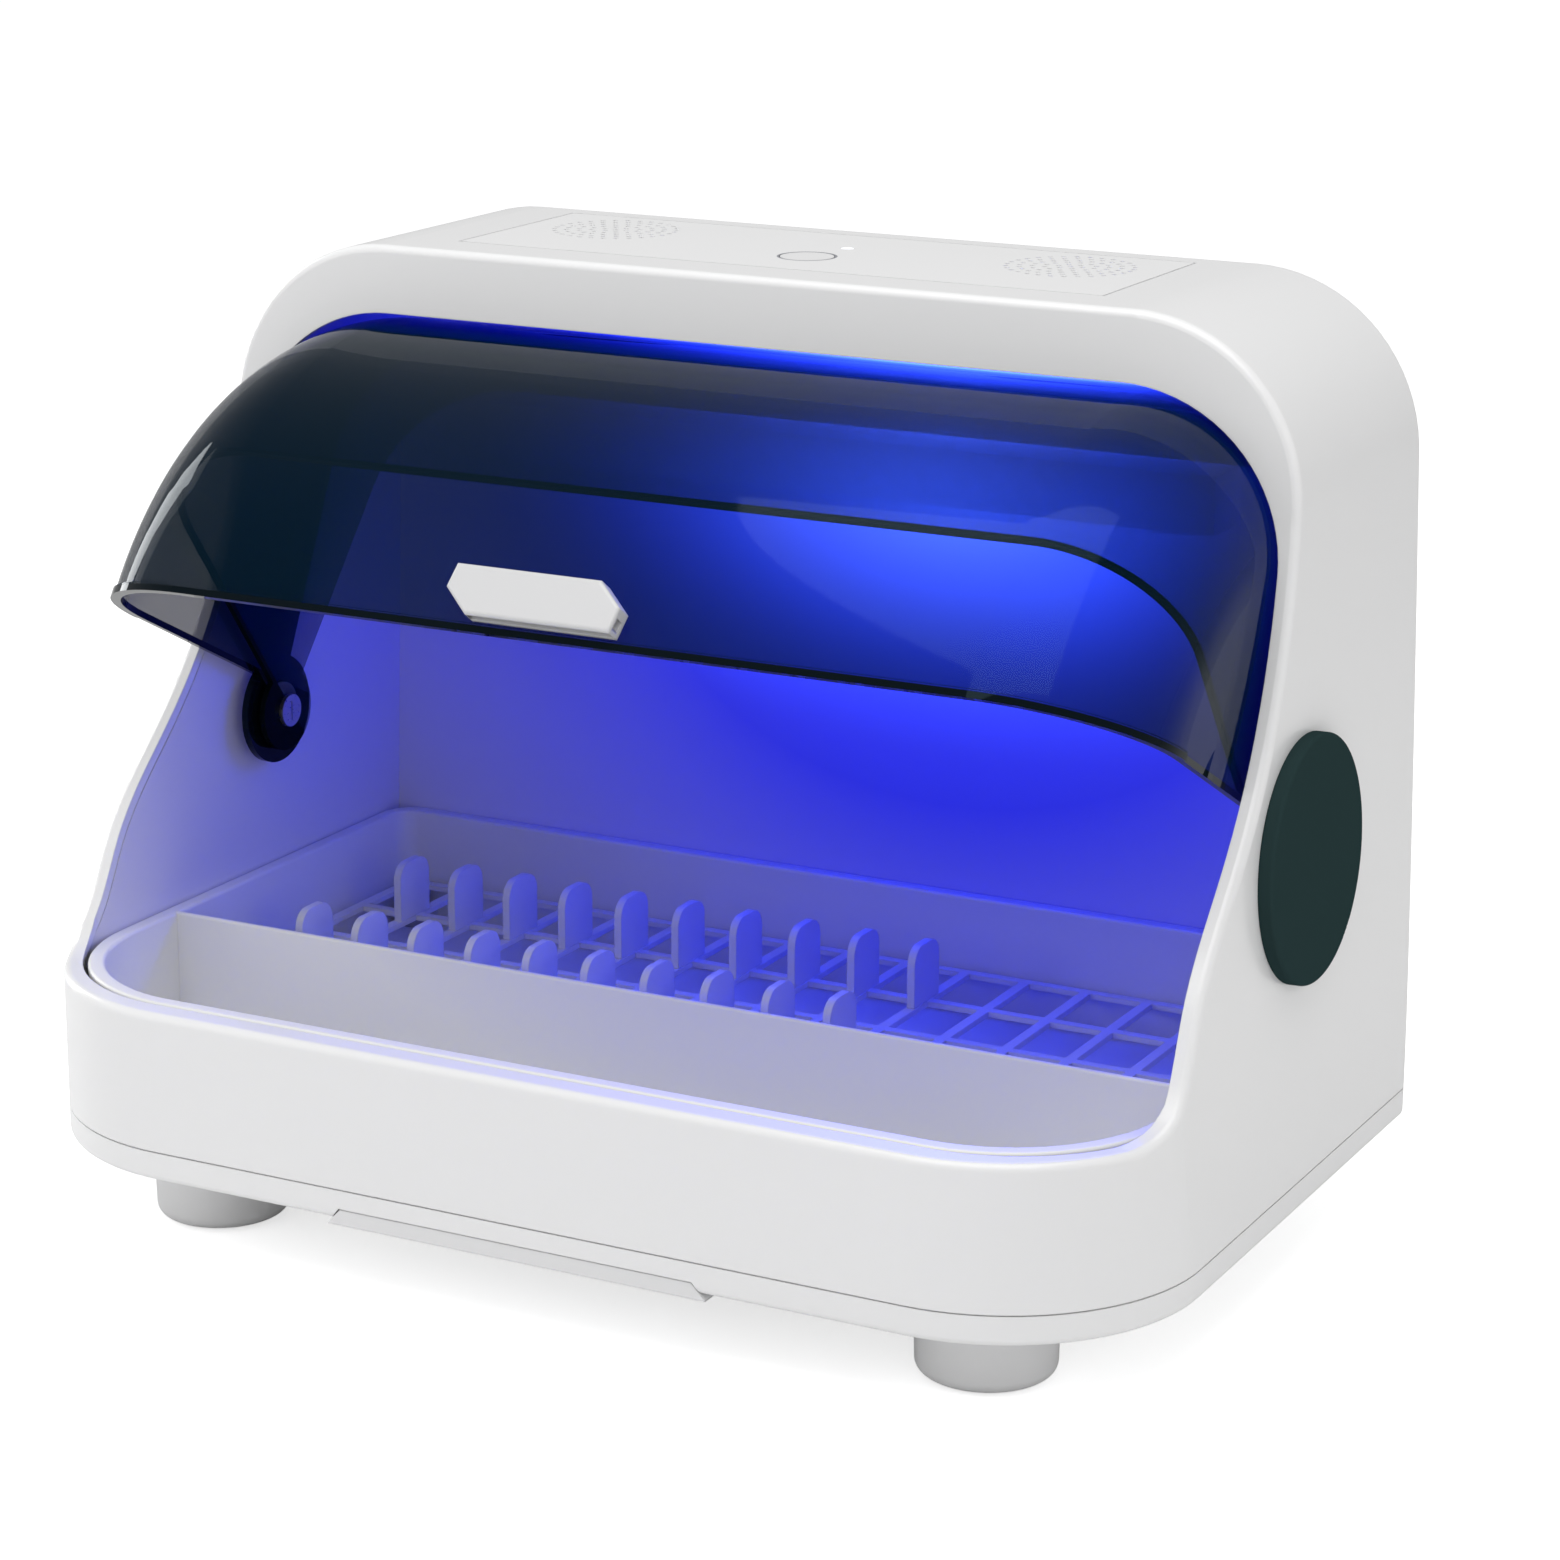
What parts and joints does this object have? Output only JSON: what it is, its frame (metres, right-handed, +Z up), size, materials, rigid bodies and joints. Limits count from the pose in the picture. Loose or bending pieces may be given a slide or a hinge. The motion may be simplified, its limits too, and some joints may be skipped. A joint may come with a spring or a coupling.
{
  "type": "countertop chopstick and dish sterilizer box",
  "caption": "White countertop box with a swinging smoked visor over a dish basin and a front chopstick trough, with lamp, fans and drip tray.",
  "frame": {"origin": "on the table, under the middle of the box", "axes": "+X to the right seen from the front, +Y to the back, +Z up"},
  "size_m": [0.4258, 0.265, 0.3241],
  "materials": {
    "white_shell": "smooth glossy white",
    "white_tub": "smooth satin white",
    "white_liner": "smooth satin off-white",
    "white_base": "smooth satin white",
    "white_handle": "smooth glossy white",
    "smoked_clear": "clear smoked blue-grey, polished",
    "green_cap": "dark slate green, satin",
    "hinge_plastic": "plain moulded",
    "steel": "zinc plated",
    "foot_rubber": "soft matte",
    "black_plastic": "plain moulded",
    "board_green": "lacquered board",
    "lamp_glass": "clear tube, glowing blue when lit",
    "indicator_light": "clear light guide"
  },
  "bodies": {
    "housing": {"outer_shell": "white_shell", "back_cover": "white_shell", "power_inlet": "black_plastic", "back_screws": "steel", "inner_liner": "white_liner", "inner_tub": "white_tub", "trough_grate": "white_tub", "dish_rack": "white_tub", "rack_feet": "foot_rubber", "plate_fins": "white_tub", "base_pan": "white_shell", "tub_screws": "steel", "tray_rail_left": "white_base", "tray_rail_right": "white_base", "rail_screws": "steel", "foot_front_left": "white_base", "foot_back_left": "white_base", "foot_front_right": "white_base", "foot_back_right": "white_base", "foot_pads": "foot_rubber", "foot_screws": "steel", "top_panel": "white_shell", "indicator_lens": "indicator_light", "control_board": "board_green", "push_switch": "black_plastic", "board_standoffs": "steel", "button_spring": "steel", "fan_frame_left": "black_plastic", "fan_frame_right": "black_plastic", "fan_screws": "steel", "lamp_housing": "white_liner", "lamp_sockets": "white_liner", "uv_lamp": "lamp_glass", "lamp_driver": "board_green", "upper_window": "smoked_clear", "hinge_pin_left": "hinge_plastic", "hinge_pin_right": "hinge_plastic", "hinge_bush_left": "hinge_plastic", "hinge_bush_right": "hinge_plastic", "hinge_washers": "hinge_plastic", "pin_screws": "steel", "hinge_cap_left": "green_cap", "hinge_cap_right": "green_cap"},
    "visor": {"visor": "smoked_clear", "visor_handle": "white_handle", "handle_screws": "steel"},
    "drip_tray": {"drip_tray": "white_base"},
    "power_button": {"power_button": "white_shell"},
    "fan_left": {"fan_rotor_left": "black_plastic"},
    "fan_right": {"fan_rotor_right": "black_plastic"}
  },
  "joints": [
    {"name": "visor_hinge", "type": "hinge", "parent": "housing", "child": "visor", "pos_m": [0, 0.0261, 0.1494], "axis": [-1, 0, 0], "range_deg": [-54.5, 13]},
    {"name": "drip_tray_slide", "type": "slide", "parent": "housing", "child": "drip_tray", "axis": [0, -1, 0], "range_m": [0, 0.15]},
    {"name": "power_button_press", "type": "slide", "parent": "housing", "child": "power_button", "axis": [0, 0, -1], "range_m": [0, 0.0012], "stiffness_N_per_m": 400, "deforming": ["button_spring"]},
    {"name": "fan_left_spin", "type": "hinge", "parent": "housing", "child": "fan_left", "pos_m": [-0.089, 0.0895, 0], "axis": [0, 0, 1], "continuous": true},
    {"name": "fan_right_spin", "type": "hinge", "parent": "housing", "child": "fan_right", "pos_m": [0.089, 0.0895, 0], "axis": [0, 0, 1], "continuous": true}
  ]
}
